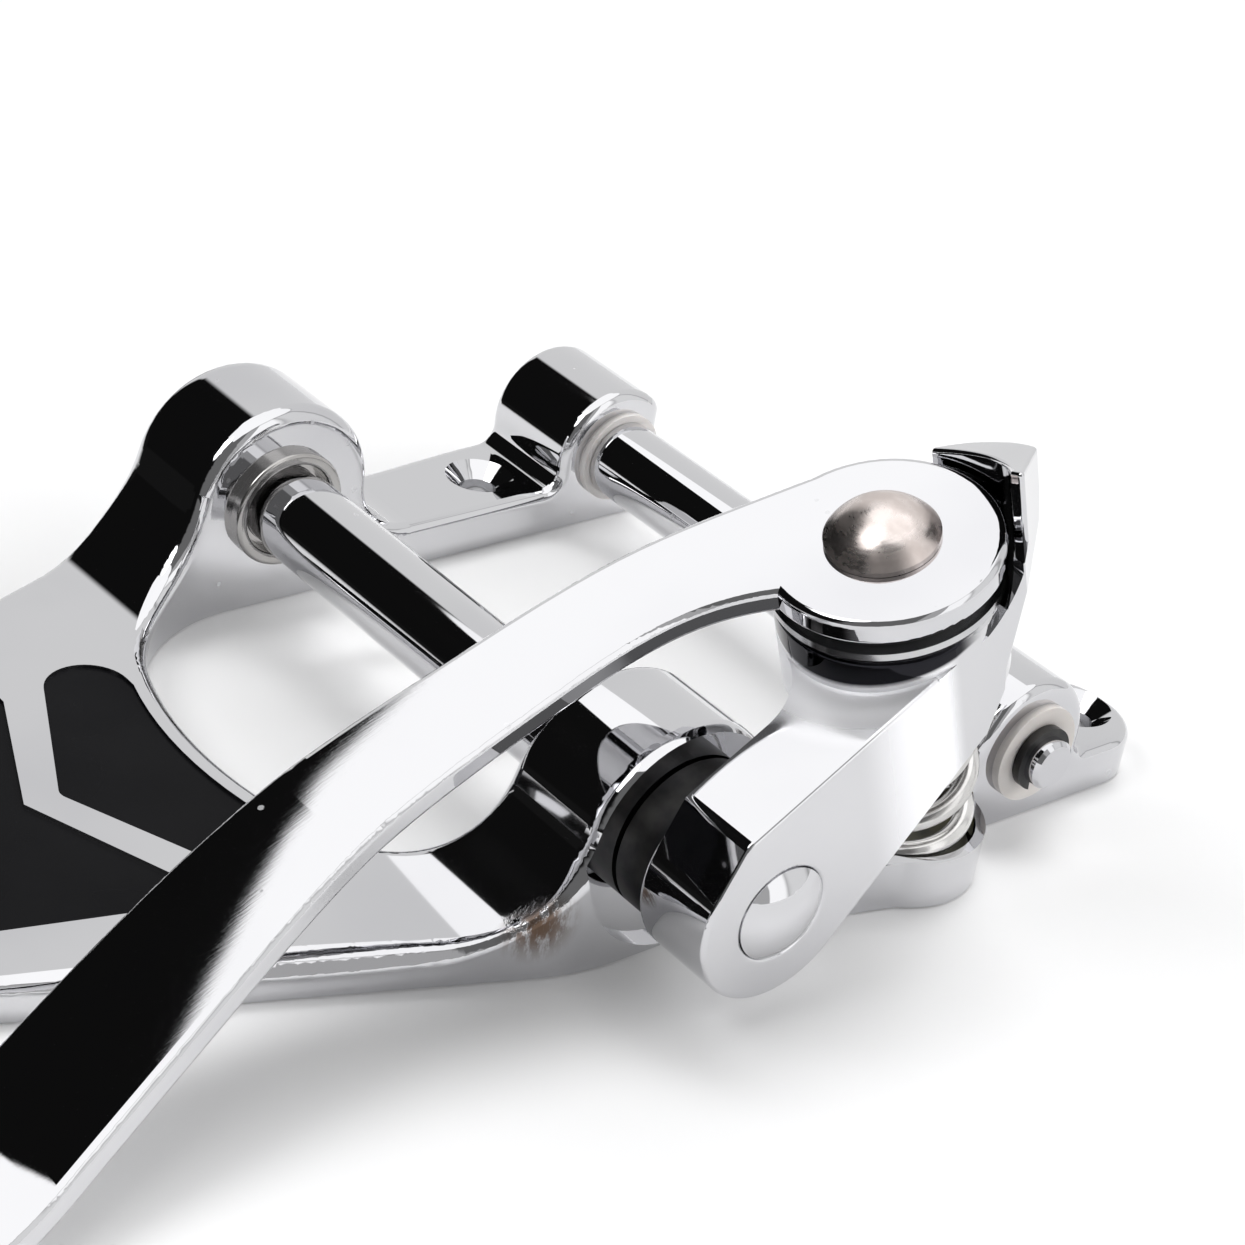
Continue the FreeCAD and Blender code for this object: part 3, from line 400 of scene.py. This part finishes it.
# %% Chrome
def make_chrome(name, swell_depth=0.000008, swell_scale=75, mark=None):
    made, graph = new_finish(name)
    arm = mark == "crown"
    swell = graph.cloud(swell_scale, 1.0)
    hairs = graph.cloud(420, 4.0, (14, 1, 1) if arm else (1, 14, 1), 0.7)
    dust = graph.specks(520, 0.16, 0.05)
    sheen = graph.band(graph.cloud(38, 3.0), 0.42, 0.75)
    rough = (0.012 if arm else 0.024) + sheen * (0.014 if arm else 0.03) + dust * 0.25
    skin = graph.tint(colour(0.66, 0.66, 0.675), colour(0.61, 0.61, 0.63), sheen)
    height = swell + hairs * (0.06 if arm else 0.012)
    if arm:
        height = height - arm_crown(graph) * (1 / swell_depth)
    if mark == "seat":
        deck_satin_and_painted_light, seat_wall_painted_shade = seat_satin_and_painted_light(graph)
        # Deck beside the seat: rougher, and its colour painted lighter as a painted brightening.
        rough = rough + deck_satin_and_painted_light * 0.42
        skin = graph.tint(skin, colour(0.97, 0.97, 0.99), deck_satin_and_painted_light)
        # Seat's wall under the washers: colour painted near black, a painted shade.
        skin = graph.tint(skin, colour(0.02, 0.02, 0.024), seat_wall_painted_shade)
    if mark == "stain":
        spot = stain_mark(graph)
        skin = graph.tint(skin, colour(0.15, 0.09, 0.055), spot * 0.95)
        rough = rough + spot * 0.35
        height = height - spot * 3.0
    shader = graph.node("ShaderNodeBsdfPrincipled", sockets={
        "Base Color": skin, "Metallic": 1.0, "Roughness": rough, "Normal": graph.relief(height, swell_depth)})
    graph.end(shader)
    return made


chrome = make_chrome("polished_chrome", mark="seat")
chrome_arm = make_chrome("polished_chrome_arm", mark="crown")
chrome_cast = make_chrome("polished_chrome_casting", 0.000012, 60, "stain")
chrome_turned = make_chrome("polished_chrome_turned", 0.000002, 120)
print("chrome", chrome.name, chrome_arm.name, chrome_cast.name, chrome_turned.name)

# %% [markdown]
# The two dull metals are turned on a lathe, and a turned face carries fine rings round its own axis. The
# distance from that axis, worked out from the object's coordinates, gives the rings, so one function serves
# the bearings, the washers and the domed head: only the axis changes.

# %% Turned metals
shaft_at = Vector((0, -0.046, 0.0115))


def rings(graph, centre, turn, step, along="Z"):
    """Fine rings round an axis through a centre: the axis is X or, once turned back, Z."""
    where = graph.place(centre=centre, turn=turn)
    first, second = graph.axes(where, "YZ" if along == "X" else "XY")
    far = (first * first + second * second).root()
    return (far * (2 * math.pi / step)).wave() * 0.5 + 0.5


def make_turned(name, light, dark, rough, centre, turn, along, step=0.00022, blotch=60):
    made, graph = new_finish(name)
    ring = rings(graph, centre, turn, step, along)
    patch = graph.band(graph.cloud(blotch, 4.0), 0.35, 0.70)
    fine = graph.cloud(1500, 3.0)
    skin = graph.tint(light, dark, patch)
    shine = rough + patch * rough * 0.6 + ring * 0.03
    shader = graph.node("ShaderNodeBsdfPrincipled", sockets={
        "Base Color": skin, "Metallic": 1.0, "Roughness": shine,
        "Normal": graph.relief(ring + fine * 0.8, 0.0000012)})
    graph.end(shader)
    return made


steel_x = make_turned("bearing_steel", colour(0.46, 0.45, 0.44), colour(0.30, 0.29, 0.28), 0.16,
                      tuple(shaft_at), (0, 0, 0), "X")
steel_z = make_turned("washer_steel", colour(0.60, 0.60, 0.61), colour(0.46, 0.46, 0.47), 0.12,
                      tuple(swivel_at), (-swivel_lean, 0, 0), "Z")
nickel = make_turned("nickel_head", colour(0.76, 0.69, 0.66), colour(0.60, 0.53, 0.50), 0.22,
                     tuple(swivel_at), (-swivel_lean, 0, 0), "Z", 0.00035, 420)
print("turned", steel_x.name, steel_z.name, nickel.name)

# %% [markdown]
# The panels are poured black enamel in shallow recesses. Enamel levels itself, so it is glossy with a faint
# orange peel, and a few specks of dust lie on it. The plastics are moulded: nylon is a little cloudy and
# never quite smooth. The clip is blackened spring steel, rubbed grey here and there.

# %% Enamel, plastics and blackened steel
def make_plain(name, light, dark, rough, spread, grain, depth, metal=0.0, cloud=45, dust=0.0, extra=None):
    made, graph = new_finish(name)
    patch = graph.cloud(cloud, 4.0)
    fine = graph.cloud(grain, 3.0)
    skin = graph.tint(light, dark, graph.band(patch, 0.30, 0.72))
    shine = rough + patch * spread
    if dust:
        fleck = graph.specks(480, 0.15, dust)
        skin = graph.tint(skin, colour(0.35, 0.35, 0.36), fleck * 0.6)
        shine = shine + fleck * 0.4
    sockets = {"Base Color": skin, "Metallic": metal, "Roughness": shine, "Normal": graph.relief(fine, depth)}
    sockets.update(extra or {})
    graph.end(graph.node("ShaderNodeBsdfPrincipled", sockets=sockets))
    return made


milky = {"Subsurface Weight": 0.12, "Subsurface Radius": (0.6, 0.5, 0.4), "Subsurface Scale": 0.001}
enamel = make_plain(
    "black_enamel_gloss", colour(0.004, 0.004, 0.005), colour(0.008, 0.008, 0.009), 0.22, 0.10,
    700, 0.0000022, dust=0.05, extra={"Specular IOR Level": 0.035})
white_nylon = make_plain(
    "white_nylon", colour(0.80, 0.77, 0.75), colour(0.70, 0.66, 0.63), 0.34, 0.16,
    1400, 0.000004, extra=milky)
black_nylon = make_plain(
    "black_nylon", colour(0.012, 0.012, 0.013), colour(0.022, 0.022, 0.023), 0.38, 0.16,
    1400, 0.000004)
black_steel = make_plain(
    "blackened_steel", colour(0.020, 0.020, 0.022), colour(0.060, 0.058, 0.056), 0.26, 0.20,
    1800, 0.000003, metal=0.85, cloud=260)
pad_felt = make_plain(
    "greased_pad", colour(0.085, 0.080, 0.035), colour(0.022, 0.021, 0.014), 0.24, 0.30,
    520, 0.00006, cloud=330, extra={"Coat Weight": 0.35, "Coat Roughness": 0.12})
print("enamel and plastics", enamel.name, white_nylon.name, black_nylon.name, black_steel.name, pad_felt.name)

# %% [markdown]
# Each solid keeps its mesh and gets a finish in its material slot. One table says which.

# %% Finishes onto the solids
finishes = {
    "base_frame": chrome_cast, "arm_bracket": chrome, "arm": chrome_arm, "main_shaft": chrome_turned,
    "tension_bar": chrome_turned, "front_panel": enamel, "tail_panel": enamel, "bass_bearing": steel_x,
    "treble_bearing": steel_x, "shaft_spacer": black_steel, "string_pins": steel_x, "pivot_bolt": nickel,
    "pivot_nut": steel_z, "friction_washer": black_nylon, "flat_washer": steel_z, "spring_washer": steel_z,
    "bass_inner_bushing": white_nylon, "bass_outer_bushing": white_nylon, "treble_inner_bushing": white_nylon,
    "treble_outer_bushing": white_nylon, "bass_clip": black_steel, "treble_clip": black_steel,
    "spring_pad": pad_felt,
}
for name, finish in finishes.items():
    for slot in nodes[name].material_slots:
        slot.material = finish
print("finishes on", len(finishes), "solids")

# %% [markdown]
# The main spring is wound from round wire: nearly closed at both ends, open between, and its axis bends
# because the cup and the pocket don't face each other. The path comes from a formula, and a small Geometry
# Nodes tree sweeps the wire along it, so that the wire's thickness stays one number that can be changed.

# %% Path of the spring's wire
cup_low, cup_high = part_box("spring_pad")
wire_r = 0.0010
coil_r = 0.0065
end_turns = 0.9
middle_turns = 3.5
ease_turns = 0.7
end_pitch = 0.0026
first_angle = math.radians(100)
path_steps = 360
wire_sides = 20
seat_gap = 0.00006
pocket_drop = 0.0136
pocket_shift = 0.001
turns = 2 * end_turns + middle_turns
swivel_axis = Vector((0, -math.sin(swivel_lean), math.cos(swivel_lean)))
cup_middle = (cup_low + cup_high) / 2
foot = Vector((cup_middle.x, cup_middle.y, cup_high.z + wire_r + seat_gap))
head = swivel_at + Vector((-pocket_shift, 0, 0)) - swivel_axis * (pocket_drop + wire_r + seat_gap)
reach = (head - foot).length


def ease(s):
    s = min(max(s, 0), 1)
    return s * s * (3 - 2 * s)


def openness(turn):
    into = ease((turn - end_turns + ease_turns) / ease_turns)
    out = ease((turns - end_turns + ease_turns - turn) / ease_turns)
    return into * out


def axis_point(s):
    start = foot * ((1 + 2 * s) * (1 - s) ** 2) + Vector((0, 0, 1)) * (reach * s * (1 - s) ** 2)
    return start + head * (s * s * (3 - 2 * s)) + swivel_axis * (reach * s * s * (s - 1))


def wire_path(steps):
    shares = [openness((i + 0.5) * turns / steps) for i in range(steps)]
    rise = (reach - end_pitch * turns) / (sum(shares) * turns / steps)
    points = []
    climbed = 0.0
    for i in range(steps + 1):
        turn = i * turns / steps
        s = (end_pitch * turn + rise * climbed * turns / steps) / reach
        ahead = (axis_point(s + 0.001) - axis_point(s - 0.001)).normalized()
        across = (Vector((1, 0, 0)) - ahead * ahead.x).normalized()
        a = 2 * math.pi * turn + first_angle
        round_it = across * coil_r * math.cos(a) + ahead.cross(across) * coil_r * math.sin(a)
        points.append(axis_point(s) + round_it)
        if i < steps:
            climbed += shares[i]
    return points


spring_points = wire_path(path_steps)
print("wire path", len(spring_points), "points, from", tuple(foot), "to", tuple(head))

# %% Wire swept along the path
def wire_tree(finish):
    tree = bpy.data.node_groups.new("sweep_wire", "GeometryNodeTree")
    face = tree.interface
    face.new_socket("Path", in_out="INPUT", socket_type="NodeSocketGeometry")
    face.new_socket("Wire radius", in_out="INPUT", socket_type="NodeSocketFloat")
    face.new_socket("Sides", in_out="INPUT", socket_type="NodeSocketInt")
    face.new_socket("Swept", in_out="OUTPUT", socket_type="NodeSocketGeometry")
    start = tree.nodes.new("NodeGroupInput")
    ring = tree.nodes.new("GeometryNodeCurvePrimitiveCircle")
    sweep = tree.nodes.new("GeometryNodeCurveToMesh")
    smooth = tree.nodes.new("GeometryNodeSetShadeSmooth")
    real = tree.nodes.new("GeometryNodeRealizeInstances")
    paint = tree.nodes.new("GeometryNodeSetMaterial")
    end = tree.nodes.new("NodeGroupOutput")
    sweep.inputs["Fill Caps"].default_value = True
    paint.inputs["Material"].default_value = finish
    tree.links.new(start.outputs["Wire radius"], ring.inputs["Radius"])
    tree.links.new(start.outputs["Sides"], ring.inputs["Resolution"])
    tree.links.new(start.outputs["Path"], sweep.inputs["Curve"])
    tree.links.new(ring.outputs["Curve"], sweep.inputs["Profile Curve"])
    tree.links.new(sweep.outputs["Mesh"], smooth.inputs["Geometry"])
    tree.links.new(smooth.outputs["Geometry"], real.inputs["Geometry"])
    tree.links.new(real.outputs["Geometry"], paint.inputs["Geometry"])
    tree.links.new(paint.outputs["Geometry"], end.inputs["Swept"])
    return tree


def make_spring(points, finish):
    data = bpy.data.curves.new("spring_path", "CURVE")
    data.dimensions = "3D"
    line = data.splines.new("POLY")
    line.points.add(len(points) - 1)
    for spot, point in zip(line.points, points):
        spot.co = (*point, 1)
    path = bpy.data.objects.new("spring_path", data)
    bpy.context.scene.collection.objects.link(path)
    sweep = path.modifiers.new("wire", "NODES")
    sweep.node_group = wire_tree(finish)
    sockets = sweep.node_group.interface.items_tree
    inputs = {item.name: item.identifier for item in sockets if item.in_out == "INPUT"}
    sweep[inputs["Wire radius"]] = wire_r
    sweep[inputs["Sides"]] = wire_sides
    graph = bpy.context.evaluated_depsgraph_get()
    mesh = bpy.data.meshes.new_from_object(path.evaluated_get(graph))
    mesh.name = "wound_spring"
    bpy.data.objects.remove(path)
    spring = bpy.data.objects.new("wound_spring", mesh)
    bpy.context.scene.collection.objects.link(spring)
    return spring


spring_wire = make_plain("drawn_spring_wire", colour(0.74, 0.73, 0.72), colour(0.58, 0.57, 0.56), 0.10, 0.16,
                         1600, 0.000004, metal=1.0, cloud=160)
spring = make_spring(spring_points, spring_wire)
print("spring", len(spring.data.polygons), "faces", "materials", [m.name for m in spring.data.materials])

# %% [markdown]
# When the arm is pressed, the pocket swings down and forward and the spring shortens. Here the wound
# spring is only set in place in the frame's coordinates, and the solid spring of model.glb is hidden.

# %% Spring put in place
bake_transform(spring)
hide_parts("main_spring")
